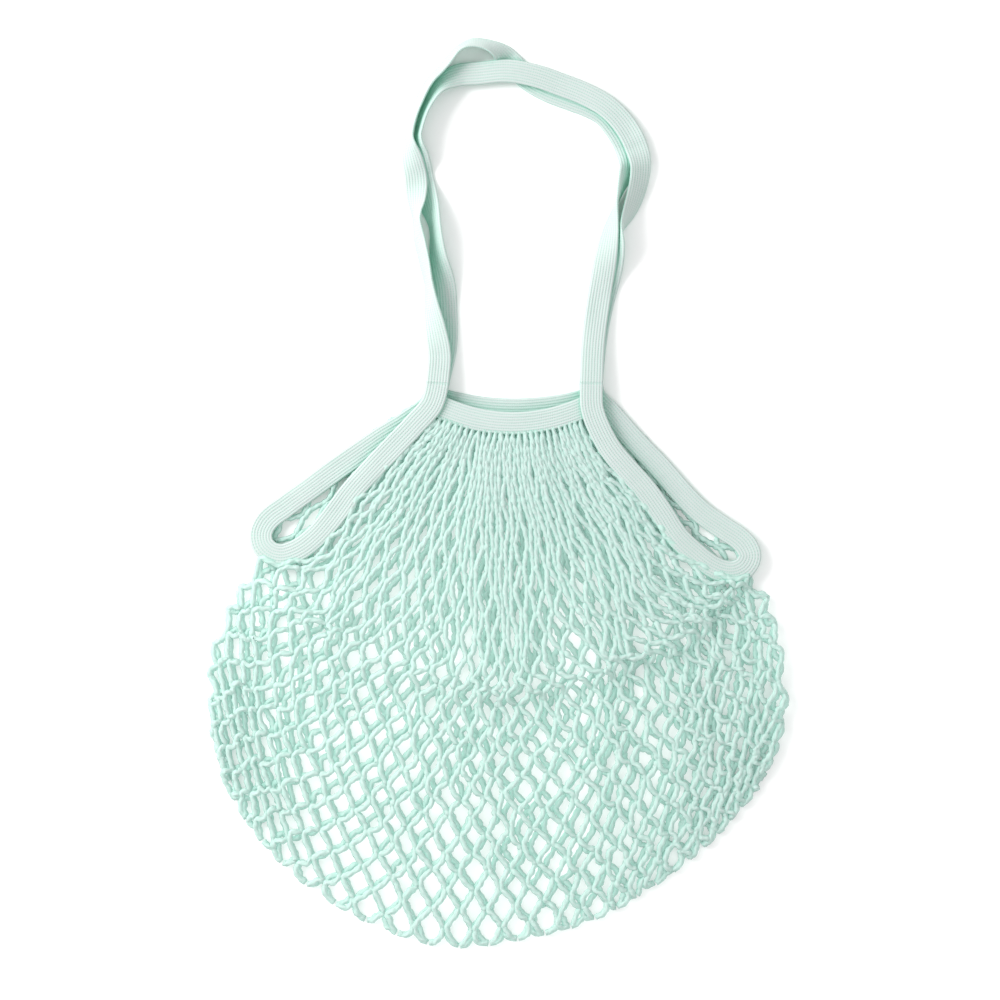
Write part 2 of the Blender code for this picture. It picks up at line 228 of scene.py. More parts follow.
def addLights():
    addLamp("key_lamp", light["keyPlace"], light["keySize"], light["keyPower"])
    addLamp("fill_lamp", light["fillPlace"], light["fillSize"], light["fillPower"])
    room = bpy.data.worlds.new("bright_room")
    room.use_nodes = True
    room.node_tree.nodes.clear()
    glow = addNode(room.node_tree, "ShaderNodeBackground",
                   inputs={"Color": hexColour(light["room"]), "Strength": light["roomStrength"]})
    addNode(room.node_tree, "ShaderNodeOutputWorld", inputs={"Surface": glow.outputs[0]})
    bpy.context.scene.world = room
    bpy.context.scene.view_settings.view_transform = "Standard"


# Table: a matt white board, which the photo shows as clean white
table = {"half": 3.0, "white": "#F4F4F4", "roughness": 0.9, "shine": 0.2}


def addTable():
    half = table["half"]
    corners = [(-half, -half, 0), (half, -half, 0), (half, half, 0), (-half, half, 0)]
    mesh = bpy.data.meshes.new("table")
    mesh.from_pydata(corners, [], [(0, 1, 2, 3)])
    board = bpy.data.objects.new("table", mesh)
    bpy.context.scene.collection.objects.link(board)
    material, tree = newMaterial("matt_white_board")
    shader = addNode(tree, "ShaderNodeBsdfPrincipled",
                     inputs={"Base Color": hexColour(table["white"]), "Roughness": table["roughness"],
                             "Specular IOR Level": table["shine"]})
    addNode(tree, "ShaderNodeOutputMaterial", inputs={"Surface": shader.outputs[0]})
    mesh.materials.append(material)


# What cord and tape have in common as cotton: matt and soft, with painted shade that turns them a purer green
# in their hollows
cotton = {
    # painted shade: how shut a hollow must be for the full purer green, and how open for none
    "paintedShadeOpen": (0.25, 0.95),    # how open the darkest hollow is, and a place with no tint
    "paintedShadeShare": 0.9,
    "paintedShadeSamples": 2,
    "shine": 0.15,
    "sheenRoughness": 0.5,
    "fuzzDetail": 2.0,
    "fuzzRoughness": 0.6,
    "bumpStrength": 0.8,
}


def clothShader(tree, cloth, colour, normal):
    # a matt cloth that lets a share of the light through, and takes a purer green, painted shade, where
    # ambient occlusion finds that little light can reach
    openness = addNode(tree, "ShaderNodeAmbientOcclusion", {"samples": cotton["paintedShadeSamples"]},
                       {"Distance": cloth["paintedShadeMm"] / 1000})
    darkest, plain = cotton["paintedShadeOpen"]
    paintedShade = addNode(tree, "ShaderNodeMapRange", {"interpolation_type": "SMOOTHSTEP"},
                     {"Value": openness.outputs["AO"], "From Min": darkest, "From Max": plain,
                      "To Min": cotton["paintedShadeShare"], "To Max": 0.0})
    tinted = addNode(tree, "ShaderNodeMix", {"data_type": "RGBA"},
                     {0: paintedShade.outputs[0], 6: colour, 7: hexColour(cloth["paintedShade"])})
    face = addNode(tree, "ShaderNodeBsdfPrincipled",
                   inputs={"Base Color": tinted.outputs[2], "Roughness": cloth["roughness"], "Normal": normal,
                           "Specular IOR Level": cotton["shine"], "Sheen Weight": cloth["sheen"],
                           "Sheen Roughness": cotton["sheenRoughness"]})
    through = addNode(tree, "ShaderNodeBsdfTranslucent",
                      inputs={"Color": hexColour(cloth["through"]), "Normal": normal})
    both = addNode(tree, "ShaderNodeMixShader",
                   inputs={0: cloth["throughShare"], 1: face.outputs[0], 2: through.outputs[0]})
    return both.outputs[0]


# Spun cotton cord: soft, matt, a little fuzzy, with three plies that wind round it
cordCotton = {
    "pale": "#D0DAD8",
    # deepest colour of the cord: its own random tone, and painted shade between the plies and on the back
    # face
    "deepToneAndShade": "#B4D3CA",
    "through": "#AFDDD0",       # light that has passed through the cord
    "throughShare": 0.25,
    "looseShare": 0.78,         # light that passes between the fibres of a cord
    "looseTint": "#FAFDFC",
    # painted shade: the purer green that the cord takes in its hollows, and how far it looks for them
    "paintedShade": "#B0D8CE",
    "paintedShadeMm": 6.0,
    "plies": 3.0,
    "turnMm": 7.0,              # length of one turn of a ply
    "fuzzMm": 1.2,
    # the ply wave paints shade between the plies and paler crests; the fuzz and the tone are the cord's own
    # uneven colour
    "paleParts": (0.14, 0.30, 0.42),   # how pale the cord is at least, and what its plies and its fuzz add
    "fuzzRise": 1.2,            # height of the fuzz, where a ply's is 1
    "bumpMm": 0.32,
    "edgeFuzz": 0.7,            # how ragged the cord's edge is
    "edgeRange": (1.0, 1.34),   # where the edge starts to thin out and ends
    "edgeClear": 0.9,
    "roughness": 0.95,
    "sheen": 0.0,
}


def makeCordCotton():
    # the plies are a sine of (plies x around + along / turn), and the fuzz is noise in the bag's own space.
    # The edge of a cord thins out raggedly, and light meets it as loose fibres that let most of it pass.
    c = cordCotton
    material, tree = newMaterial("spun_cotton_cord")
    place = addNode(tree, "ShaderNodeUVMap", {"uv_map": "clothUv"})
    split = addNode(tree, "ShaderNodeSeparateXYZ", inputs={0: place.outputs[0]})
    around = addNode(tree, "ShaderNodeMath", {"operation": "MULTIPLY"},
                     {0: split.outputs[0], 1: 2 * np.pi * c["plies"]})
    wound = addNode(tree, "ShaderNodeMath", {"operation": "MULTIPLY_ADD"},
                    {0: split.outputs[1], 1: 2 * np.pi * 1000 / c["turnMm"], 2: around.outputs[0]})
    wave = addNode(tree, "ShaderNodeMath", {"operation": "SINE"}, {0: wound.outputs[0]})
    ply = addNode(tree, "ShaderNodeMath", {"operation": "MULTIPLY_ADD"}, {0: wave.outputs[0], 1: 0.5, 2: 0.5})
    spot = addNode(tree, "ShaderNodeTexCoord")
    fuzz = addNode(tree, "ShaderNodeTexNoise", {"noise_dimensions": "3D"},
                   {"Vector": spot.outputs["Object"], "Scale": 1000 / c["fuzzMm"],
                    "Detail": cotton["fuzzDetail"], "Roughness": cotton["fuzzRoughness"]})
    tone = addNode(tree, "ShaderNodeAttribute", {"attribute_name": "tone"})
    least, plyAdds, fuzzAdds = c["paleParts"]
    # painted shade: the colour is deeper between the plies and paler on their crests
    plyPart = addNode(tree, "ShaderNodeMath", {"operation": "MULTIPLY_ADD"},
                      {0: ply.outputs[0], 1: plyAdds, 2: least})
    fuzzPart = addNode(tree, "ShaderNodeMath", {"operation": "MULTIPLY_ADD"},
                       {0: fuzz.outputs[0], 1: fuzzAdds, 2: plyPart.outputs[0]})
    total = addNode(tree, "ShaderNodeMath", {"operation": "ADD", "use_clamp": True},
                    {0: fuzzPart.outputs[0], 1: tone.outputs["Fac"]})
    colour = addNode(tree, "ShaderNodeMix", {"data_type": "RGBA"},
                     {0: total.outputs[0], 6: hexColour(c["deepToneAndShade"]), 7: hexColour(c["pale"])})
    height = addNode(tree, "ShaderNodeMath", {"operation": "MULTIPLY_ADD"},
                     {0: fuzz.outputs[0], 1: c["fuzzRise"], 2: ply.outputs[0]})
    bump = addNode(tree, "ShaderNodeBump",
                   inputs={"Strength": cotton["bumpStrength"], "Distance": c["bumpMm"] / 1000,
                           "Height": height.outputs[0]})
    cloth = clothShader(tree, c, colour.outputs[2], bump.outputs[0])

    edge = addNode(tree, "ShaderNodeLayerWeight", inputs={"Blend": 0.5})
    ragged = addNode(tree, "ShaderNodeMath", {"operation": "MULTIPLY_ADD"},
                     {0: fuzz.outputs[0], 1: c["edgeFuzz"], 2: edge.outputs["Facing"]})
    fade = addNode(tree, "ShaderNodeMapRange", {"interpolation_type": "SMOOTHSTEP"},
                   {"Value": ragged.outputs[0], "From Min": c["edgeRange"][0], "From Max": c["edgeRange"][1],
                    "To Min": 0.0, "To Max": c["edgeClear"]})
    clear = addNode(tree, "ShaderNodeBsdfTransparent")
    fuzzy = addNode(tree, "ShaderNodeMixShader", inputs={0: fade.outputs[0], 1: cloth, 2: clear.outputs[0]})
    ray = addNode(tree, "ShaderNodeLightPath")
    loose = addNode(tree, "ShaderNodeMath", {"operation": "MULTIPLY_ADD"},
                    {0: ray.outputs["Is Camera Ray"], 1: -c["looseShare"], 2: c["looseShare"]})
    tinted = addNode(tree, "ShaderNodeBsdfTransparent", inputs={"Color": hexColour(c["looseTint"])})
    airy = addNode(tree, "ShaderNodeMixShader",
                   inputs={0: loose.outputs[0], 1: fuzzy.outputs[0], 2: tinted.outputs[0]})
    addNode(tree, "ShaderNodeOutputMaterial", inputs={"Surface": airy.outputs[0]})
    return material


# Knitted cotton tape: lengthwise ribs, and across them the small stitches of each course
tapeCotton = {
    "pale": "#CFD4D4",
    # painted shade: the colour of the tape in its grooves and at its ticks
    "grooveShade": "#A6C7BD",
    "through": "#8FDCC4",
    "throughShare": 0.2,
    # painted shade: the purer green that the tape takes in its hollows, and how far it looks for them
    "paintedShade": "#97D8C4",
    "paintedShadeMm": 12.0,
    "ribMm": 2.0,
    "stitchMm": 1.6,
    "sharpness": (2.5, 1.5),            # how narrow the grooves are, and the gaps between stitches
    # the groove and tick darkening is painted shade; the fuzz darkening is the tape's own uneven tone
    "shadeAndFuzzParts": (0.16, 0.75, 0.35),    # how much a groove, a tick and the fuzz darken the tape
    "patchesPerMetre": 60.0,
    "bumpMm": 0.22,
    "fuzzMm": 0.8,
    "roughness": 0.95,
    "sheen": 0.3,
}


def makeTapeCotton():
    # painted shade: the grooves between ribs are darker, and a darker tick sits where a groove meets a gap
    # between stitches. Each of the two is a power of (0.5 + 0.5 cos of its phase), and the tick is their
    # product.
    c = tapeCotton
    material, tree = newMaterial("knitted_cotton_tape")
    place = addNode(tree, "ShaderNodeUVMap", {"uv_map": "clothUv"})
    split = addNode(tree, "ShaderNodeSeparateXYZ", inputs={0: place.outputs[0]})

    def wave(value, stepMm, sharpness):
        phase = addNode(tree, "ShaderNodeMath", {"operation": "MULTIPLY"},
                        {0: value, 1: 2 * np.pi * 1000 / stepMm})
        swing = addNode(tree, "ShaderNodeMath", {"operation": "COSINE"}, {0: phase.outputs[0]})
        share = addNode(tree, "ShaderNodeMath", {"operation": "MULTIPLY_ADD"},
                        {0: swing.outputs[0], 1: 0.5, 2: 0.5})
        sharp = addNode(tree, "ShaderNodeMath", {"operation": "POWER"}, {0: share.outputs[0], 1: sharpness})
        return sharp.outputs[0]

    grooveShade = wave(split.outputs[0], c["ribMm"], c["sharpness"][0])
    stitch = wave(split.outputs[1], c["stitchMm"], c["sharpness"][1])
    tick = addNode(tree, "ShaderNodeMath", {"operation": "MULTIPLY"}, {0: grooveShade, 1: stitch})
    spot = addNode(tree, "ShaderNodeTexCoord")
    fuzz = addNode(tree, "ShaderNodeTexNoise", {"noise_dimensions": "3D"},
                   {"Vector": spot.outputs["Object"], "Scale": 1000 / c["fuzzMm"],
                    "Detail": cotton["fuzzDetail"], "Roughness": cotton["fuzzRoughness"]})
    patch = addNode(tree, "ShaderNodeTexNoise", {"noise_dimensions": "3D"},
                    {"Vector": spot.outputs["Object"], "Scale": c["patchesPerMetre"], "Detail": 1.0})
    grooveDark, tickDark, fuzzDark = c["shadeAndFuzzParts"]
    grooved = addNode(tree, "ShaderNodeMath", {"operation": "MULTIPLY"}, {0: grooveShade, 1: grooveDark})
    ticked = addNode(tree, "ShaderNodeMath", {"operation": "MULTIPLY_ADD"},
                     {0: tick.outputs[0], 1: tickDark, 2: grooved.outputs[0]})
    rough = addNode(tree, "ShaderNodeMath", {"operation": "MULTIPLY"},
                    {0: fuzz.outputs[0], 1: patch.outputs[0]})
    total = addNode(tree, "ShaderNodeMath", {"operation": "MULTIPLY_ADD", "use_clamp": True},
                    {0: rough.outputs[0], 1: fuzzDark, 2: ticked.outputs[0]})
    colour = addNode(tree, "ShaderNodeMix", {"data_type": "RGBA"},
                     {0: total.outputs[0], 6: hexColour(c["pale"]), 7: hexColour(c["grooveShade"])})
    sunk = addNode(tree, "ShaderNodeMath", {"operation": "MULTIPLY_ADD"},
                   {0: tick.outputs[0], 1: -1.0, 2: fuzz.outputs[0]})
    bump = addNode(tree, "ShaderNodeBump",
                   inputs={"Strength": cotton["bumpStrength"], "Distance": c["bumpMm"] / 1000,
                           "Height": sunk.outputs[0]})
    cloth = clothShader(tree, c, colour.outputs[2], bump.outputs[0])
    addNode(tree, "ShaderNodeOutputMaterial", inputs={"Surface": cloth})
    return material


# Tape: its section, and how finely it is cut
tape = {
    "ribs": 8,
    "ribHeight": 0.00019,
    "acrossPoints": 49,
    "edgeCrowd": (0.55, 0.45),   # shares of sine and of even spacing, so that points crowd at the edges
    "stepLength": 0.0014,
    "bindingSteps": 46,          # of the middle lines, before they are cut finely
    "handleSteps": 88,
    "cup": 0.0005,
    "cupLevel": 0.4,
    "cupLength": 0.05,
    "flushLength": 0.02,         # the cup dies out over this length at each end
    "tuck": 0.0008,              # how far a handle's ends run under the binding
    "tuckDrop": 0.00003,
}


def tapePiece(name, path, across, material, seed, firstStitch=0.0):
    # a flat tube along a path. In its section x runs from edge to edge as -1 to 1, and the height is half the
    # thickness x sqrt(1 - x^8), with cosine ribs on it, both on top and below. The whole section is bent by a
    # gentle cup, x squared times slow noise along the tape.
    crowded, even = tape["edgeCrowd"]
    x = np.sin(np.linspace(np.pi / 2, -np.pi / 2, tape["acrossPoints"]))
    x = crowded * x + even * np.linspace(1, -1, tape["acrossPoints"])
    body = np.sqrt(np.maximum(1 - x**8, 0.0))
    ribWave = 0.5 - 0.5 * np.cos(np.pi * tape["ribs"] * (x + 1))
    top = bag["tapeThick"] / 2 * body + tape["ribHeight"] * body * ribWave
    ringX = np.concatenate([x, x[-2:0:-1]])
    ringHeight = np.concatenate([top, -top[-2:0:-1]])
    ringHeight = ringHeight - tape["ribHeight"] / 2 * np.sign(ringHeight)
    along = lengthAlong(path)
    normal = unit(np.cross(unit(np.gradient(path, axis=0)), across))
    for end in (0, -1):
        normal[end] = (0.0, 0.0, np.sign(normal[end, 2]))
    flush = np.clip(np.minimum(along, along[-1] - along) / tape["flushLength"], 0, 1)
    sway = flush * tape["cup"] * smoothNoise(along / tape["cupLength"] * 2 * np.pi, 0 * along, seed)
    bend = sway[:, None] * (ringX**2 - tape["cupLevel"])
    rings = (path[:, None] + across[:, None] * (ringX * bag["tapeWidth"] / 2)[None, :, None]
             + normal[:, None] * (ringHeight + bend)[:, :, None])
    around = np.concatenate([ringX, ringX[:1]]) * bag["tapeWidth"] / 2
    piece = tubeMesh(name, rings[None], around, along[None] + firstStitch)
    piece.data.materials.append(material)
    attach(piece, "root")
    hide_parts(name.replace("_tape", ""))
    return piece


def flatAcross(path, roll):
    # the direction from a tape's middle line to its left edge, turned by its roll. Both ends are cut square.
    side = leftOf(path)
    for end in (0, -1):
        side[end] = (np.sign(side[end, 0]), 0.0)
    return np.column_stack([side * np.cos(roll)[:, None], np.sin(roll)])


# Binding tapes, from the front shoulder down, round the turn and up to the back shoulder.
# out: share of the opening's reach. down: share of its drop. level: 2 at the front shoulder, 1 at the turn
# and 0 at the back shoulder, and between these in proportion.
leftBinding = (
    (0.000, 0.000, 2.00),
    (0.024, 0.105, 2.00),
    (0.131, 0.240, 2.00),
    (0.246, 0.363, 1.86),
    (0.377, 0.503, 1.66),
    (0.491, 0.632, 1.46),
    (0.589, 0.766, 1.28),
    (0.686, 0.883, 1.13),
    (0.789, 0.965, 1.04),
    (0.891, 1.000, 1.00),
    (0.977, 0.965, 1.00),
    (1.006, 0.889, 0.85),
    (0.977, 0.807, 0.60),
    (0.880, 0.725, 0.35),
    (0.731, 0.614, 0.15),
    (0.600, 0.515, 0.05),
    (0.469, 0.421, 0.00),
    (0.320, 0.316, 0.00),
    (0.160, 0.215, 0.00),
    (0.030, 0.105, 0.00),
    (0.000, 0.000, 0.00),
)
rightBinding = (
    (0.000, 0.000, 2.00),
    (0.003, 0.128, 2.00),
    (0.055, 0.250, 2.00),
    (0.121, 0.348, 1.95),
    (0.236, 0.463, 1.80),
    (0.338, 0.559, 1.66),
    (0.446, 0.684, 1.48),
    (0.551, 0.816, 1.30),
    (0.656, 0.899, 1.15),
    (0.777, 0.973, 1.04),
    (0.892, 1.000, 1.00),
    (0.975, 0.968, 1.00),
    (1.006, 0.904, 0.85),
    (0.962, 0.840, 0.60),
    (0.860, 0.777, 0.35),
    (0.713, 0.691, 0.15),
    (0.554, 0.559, 0.05),
    (0.439, 0.447, 0.00),
    (0.274, 0.303, 0.00),
    (0.110, 0.148, 0.00),
    (0.018, 0.062, 0.00),
    (0.000, 0.000, 0.00),
)


def bindingPath(rows, side, opening):
    # the middle line of a binding tape. side is -1 on the left of the bag and 1 on its right
    levels = (level["bindingBack"], level["bindingTurn"], level["bindingFront"])
    spots = [(side * (bag["mouthWidth"] / 2 + out * opening[0]), -down * opening[1],
              np.interp(height, (0, 1, 2), levels)) for out, down, height in rows]
    path = smoothRows(spots, tape["bindingSteps"])
    count = int(lengthAlong(path)[-1] / tape["stepLength"])
    return smoothRows(path, count) + mouth


def turnOf(path):
    # where the binding turns from front to back: its point furthest out and down together
    return int(np.argmax(np.abs(path[:, 0] - mouth[0]) - path[:, 1]))


# Handles, from the left shoulder over the top to the right one, without the shoulders themselves.
# across: share of the mouth's width from its middle. up: share of the handles' reach above the shoulders.
# roll: degrees that the tape is turned about its length. lift: how many tapes it lies above the table.
frontHandle = (
    (-0.487, 0.081, 0, 2.60),
    (-0.513, 0.156, -25, 1.20),
    (-0.539, 0.220, -50, 0.30),
    (-0.552, 0.277, -68, 0.00),
    (-0.585, 0.353, -64, 0.00),
    (-0.618, 0.416, -62, 0.00),
    (-0.637, 0.480, -70, 0.00),
    (-0.637, 0.540, -28, 0.60),
    (-0.644, 0.595, 0, 1.10),
    (-0.670, 0.653, -28, 0.60),
    (-0.686, 0.699, -66, 0.00),
    (-0.670, 0.754, -68, 0.00),
    (-0.624, 0.809, -68, 0.00),
    (-0.546, 0.873, -68, 0.00),
    (-0.467, 0.910, -68, 0.00),
    (-0.415, 0.939, -68, 0.00),
    (-0.356, 0.965, -70, 0.00),
    (-0.258, 0.980, -58, 0.00),
    (-0.173, 0.974, -54, 0.00),
    (-0.101, 0.960, -36, 0.00),
    (-0.042, 0.936, 0, 0.00),
    (0.016, 0.910, 0, 0.00),
    (0.095, 0.879, 0, 0.00),
    (0.206, 0.850, 0, 0.00),
    (0.337, 0.827, 0, 0.00),
    (0.467, 0.806, 0, 0.00),
    (0.578, 0.780, 0, 0.00),
    (0.663, 0.737, 0, 0.00),
    (0.729, 0.685, 0, 0.00),
    (0.755, 0.633, -20, 0.00),
    (0.703, 0.575, -65, 0.00),
    (0.663, 0.517, -90, 0.00),
    (0.631, 0.451, -125, 0.50),
    (0.605, 0.387, -152, 1.30),
    (0.578, 0.315, -176, 1.40),
    (0.546, 0.228, -180, 1.40),
    (0.513, 0.113, -180, 2.40),
)
backHandle = (
    (-0.448, 0.113, 0, 0.30),
    (-0.448, 0.211, 0, 0.00),
    (-0.454, 0.272, -8, 0.00),
    (-0.500, 0.373, -43, 0.00),
    (-0.520, 0.460, -57, 0.00),
    (-0.559, 0.523, -25, 0.00),
    (-0.605, 0.604, 0, 0.00),
    (-0.621, 0.655, -30, 0.00),
    (-0.631, 0.699, -68, 0.00),
    (-0.611, 0.749, -69, 0.00),
    (-0.565, 0.806, -62, 0.10),
    (-0.487, 0.861, -38, 0.70),
    (-0.376, 0.887, -8, 1.40),
    (-0.225, 0.894, 0, 2.00),
    (-0.049, 0.900, 0, 2.20),
    (0.134, 0.887, 0, 1.80),
    (0.310, 0.861, 0, 1.20),
    (0.461, 0.835, 0, 1.10),
    (0.605, 0.798, 0, 1.20),
    (0.722, 0.743, 0, 1.20),
    (0.794, 0.682, 0, 1.30),
    (0.820, 0.630, -20, 1.30),
    (0.807, 0.575, -32, 0.60),
    (0.768, 0.517, -44, 0.00),
    (0.703, 0.451, -80, 0.00),
    (0.663, 0.387, -135, 0.00),
    (0.618, 0.306, -174, 0.00),
    (0.565, 0.214, -180, 0.00),
    (0.526, 0.113, -180, 0.30),
)


def handleLine(rows, shoulderLevel):
    # a handle's middle line and its roll. It rests on its lower edge, a number of tapes above the table
    pitch = bag["tapeThick"] + bag["touchGap"]
    endsLift = (shoulderLevel - bag["tapeThick"] / 2 - bag["touchGap"]) / pitch
    half = bag["mouthWidth"] / 2
    spots = [(across * bag["mouthWidth"], up * bag["handleReach"], roll, lift)
             for across, up, roll, lift in rows]
    line = smoothRows([(-half, 0.0, rows[0][2], endsLift), *spots, (half, 0.0, rows[-1][2], endsLift)],
                      tape["handleSteps"])
    line = smoothRows(line, int(lengthAlong(line[:, :2])[-1] / tape["stepLength"]))
    roll = np.radians(line[:, 2])
    resting = np.abs(np.sin(roll)) * bag["tapeWidth"] / 2 + np.abs(np.cos(roll)) * bag["tapeThick"] / 2
    height = resting + bag["touchGap"] + np.maximum(line[:, 3], 0.0) * pitch
    path = np.column_stack([line[:, :2], height]) + mouth

    # both ends run a little way under the ends of the binding tapes, so that no seam shows
    path[[0, -1], 1] -= tape["tuck"]
    path[[0, -1], 2] -= tape["tuckDrop"]
    return path, roll


# Rim bands: how far each starts below the shoulders, how much it sags in the middle, and its level
rim = {
    "front": (0.0063, 0.0137, "rimFront"),
    "back": (0.0021, 0.0085, "rimBack"),
    "steps": 84,
    "netAt": 0.93,              # where the net hangs from the band, as a share of its width
    "netReach": (-0.15, 1.15),
    "netSteps": 240,
}


def rimPlace(left, right, drop, sag, height, u, v):
    # between points at equal distance down the two bindings, less a sag of 4 u (1 - u). v runs down the band
    distance = drop + v * bag["tapeWidth"]
    a, b = (readPath(path, distance / lengthAlong(path)[-1]) for path in (left, right))
    spot = a * (1 - u)[:, None] + b * u[:, None]
    spot[:, 1] -= sag * 4 * np.maximum(u * (1 - u), 0.0)
    spot[:, 2] = height
    return spot


# Net: one knitted net of diamonds in each face, gathered at the rim. Its upper sides are bound by the tapes,
# its lower sides and its bottom are folds, where the front goes over into the back.
net = {
    "columns": 27,
    "rows": 26,            # half diamonds from rim to bottom
    "boundRows": 12,       # rows whose ends are in the side tape
    "cord": 0.0158,        # cord from joint to joint
    "cordLengths": (0.94, 1.06),
    "radius": 0.00205,
    "uneven": 0.16,        # share by which the radius swells and thins
    "unevenPace": (1500, 5.0),
    "drawn": ((0, 4, 11), (0.55, 0.8, 1.0)),   # by steps from the rim, how thin a cord is drawn
    "wander": 0.0004,      # how far a cord strays to the sides
    "wanderPace": (1200, 7.0),
    "jointHalf": 0.0012,   # how far each of the two cords at a joint stands off its middle
    "jointRise": 0.00045,  # how far one lies over the other there
    "tension": 0.62,       # 0 pulls the cords straight between joints, 1 lets them curve as a wave
    "segments": 11,        # of a cord from joint to joint
    "sides": 6,
    "underTape": 0.002,
    "edgeSteps": 240,
    "foldSteps": 160,
    "spreadSteps": 121,
    "foldSeed": 91,
    "foldDisorder": 0.022,                          # how far the ends of rows stray along the side folds
    "disorder": (0.0005, 0.0014, 0.0026, 0.0015),   # how far joints stray, at 0, 0.15, 0.5 and 1 of the way
    "pullAcross": (0.0055, 21, 7),                  # soft waves that pull joints: how far, and how many waves
    "pullDown": (0.0040, 12, 9),
    "backShift": (0.004, -0.006),                   # how far the back face has slid under the front one
    "rounds": 400,          # in which the cords settle
    "shortest": 0.52,       # the least distance between joints, as a share of their cord
    "slackPush": 0.25,
    "pace": 1.5,
    "shared": 0.08,         # how much of its move a joint shares with its neighbours in each round
    "liftWithin": (1.2, 2.2),   # diamonds from a side fold, and half rows from the bottom one
    "lift": 0.0026,             # of the front face off its folds
    "belly": 0.0018,            # more lift in its middle
    "ripple": (0.0006, 30, 20),
    "rightSwell": 0.005,        # how high the crowded right side stands
    "backSwell": 0.8,
    "scallop": 1.1,         # how round the cords go along the bottom fold
    "bow": 0.8,             # share of a stretch's spare cord that bows out sideways
    "bowEach": (0.3, 1.0),
    "bowRise": {"front": 0.35, "back": 0.1},
    "tone": 0.08,           # how much paler or deeper one cord is than another
    # painted shade: the back face, lying under the front one, is drawn deeper
    "backPaintedShade": -0.12,
}

# How tall each half row is, by its number and in shares of the whole: tall beside the tapes, short beside the
# folds, and shortest where the last row goes round the bottom fold
rowHeight = ((0, 4.60), (11, 4.60), (12, 1.00), (24, 1.00), (25, 0.45))

# Width of the columns by share of the way down: at the left side, three places between, and the right side
spread = (
    (0.00, 1.00, 1.00, 1.00, 1.00, 1.00),
    (0.45, 0.45, 1.05, 1.25, 1.15, 0.55),
    (0.75, 0.35, 1.15, 1.40, 1.15, 0.40),
    (1.00, 0.65, 1.50, 1.15, 0.85, 0.65),
)

# Places where cords lie bunched: x, y, half width, half length, and the share that they are drawn together
bunches = (
    (-0.009, 0.004, 0.020, 0.035, 0.50),
    (0.086, -0.125, 0.026, 0.090, 0.72),
    (-0.125, -0.100, 0.030, 0.045, 0.40),
    (0.150, -0.110, 0.030, 0.070, 0.35),
)

# The body's outline, in shares of the body's width and length from the middle of the mouth
leftFold = (
    (-0.452, 0.300), (-0.478, 0.360), (-0.508, 0.418), (-0.526, 0.470),
    (-0.530, 0.501), (-0.530, 0.560), (-0.520, 0.625), (-0.509, 0.679),
)
bottomFold = (
    (-0.509, 0.679), (-0.477, 0.759), (-0.425, 0.831), (-0.321, 0.920), (-0.225, 0.970), (-0.130, 1.000),
    (0.010, 0.988), (0.149, 0.947), (0.253, 0.884), (0.357, 0.795), (0.427, 0.706),
)
rightFold = (
    (0.405, 0.325), (0.437, 0.370), (0.452, 0.420), (0.460, 0.470), (0.470, 0.520),
    (0.470, 0.560), (0.462, 0.617), (0.447, 0.665), (0.427, 0.706),
)


def foldPath(shares):
    # a smooth line through points of the outline, at the height of the fold
    spots = np.array(shares) * (bag["bodyWidth"], -bag["bodyLength"])
    line = smoothRows(np.column_stack([spots, np.full(len(spots), level["netFold"])]), net["foldSteps"])
    return line + mouth


def crossing(first, second):
    # the places in two lines where they come nearest to each other
    apart = np.linalg.norm(first[:, None, :2] - second[None, :, :2], axis=2)
    return np.unravel_index(np.argmin(apart), apart.shape)


def netEdges(left, right, offset, rimLine):
    # the upper edges of a face: its top under the rim, and its sides under the tapes as far as the turns
    fine = np.linspace(0.0, 1.0, net["edgeSteps"])
    leftEdge = readPath(beside(left[:turnOf(left) + 1], offset), fine)
    rightEdge = readPath(beside(right[:turnOf(right) + 1], -offset), fine)
    leftAt, rimStart = crossing(leftEdge, rimLine)
    rightAt, rimEnd = crossing(rightEdge, rimLine)
    return rimLine[rimStart:rimEnd + 1], leftEdge[leftAt:], rightEdge[rightAt:]


def relaxNet(spots, free, ends, reach):
    # each round moves the free joints so that no cord is longer than its reach and none much shorter, and
    # then shares what a joint has moved with its neighbours, so that no single row takes it all
    start, moved = spots[:, :2].copy(), np.zeros((len(spots), 2))
    a, b = ends
    weight = np.maximum(free[a] + free[b], 1)
    cords = np.bincount(np.concatenate([a, b]), minlength=len(spots))[:, None]
    for _ in range(net["rounds"]):
        gap = start[b] + moved[b] - start[a] - moved[a]
        length = np.linalg.norm(gap, axis=1)
        error = np.where(length > reach, length - reach,
                         np.minimum(length - net["shortest"] * reach, 0.0) * net["slackPush"])
        push = gap * (error / np.maximum(length, 1e-9) / weight)[:, None]
        move, near, count = np.zeros_like(moved), np.zeros_like(moved), np.zeros(len(spots))
        for here, there, way in ((a, b, 1), (b, a, -1)):
            np.add.at(move, here, way * push)
            np.add.at(near, here, moved[there])
            np.add.at(count, here, (error != 0).astype(float))
        moved += free[:, None] * (move / np.maximum(count, 1)[:, None] * net["pace"]
                                  + (near / cords - moved) * net["shared"])
    return np.column_stack([start + moved, spots[:, 2]])


def shareAcross(u, v):
    # the running sum of the columns' widths from the left side, as a share of the whole width
    rows, fine = np.array(spread), np.linspace(0, 1, net["spreadSteps"])
    widths = np.stack([np.interp(v, rows[:, 0], column) for column in rows[:, 1:].T], axis=1)
    width = widths @ np.maximum(0, 1 - np.abs(fine[:, None] * 4 - np.arange(5))).T
    steps = np.cumsum((width[:, 1:] + width[:, :-1]) / 2, axis=1)
    total = np.concatenate([np.zeros((len(u), 1)), steps], axis=1)
    total /= total[:, -1:]
    place = u * (len(fine) - 1)
    low, each = np.minimum(place.astype(int), len(fine) - 2), np.arange(len(u))
    return total[each, low] + (place - low) * (total[each, low + 1] - total[each, low])


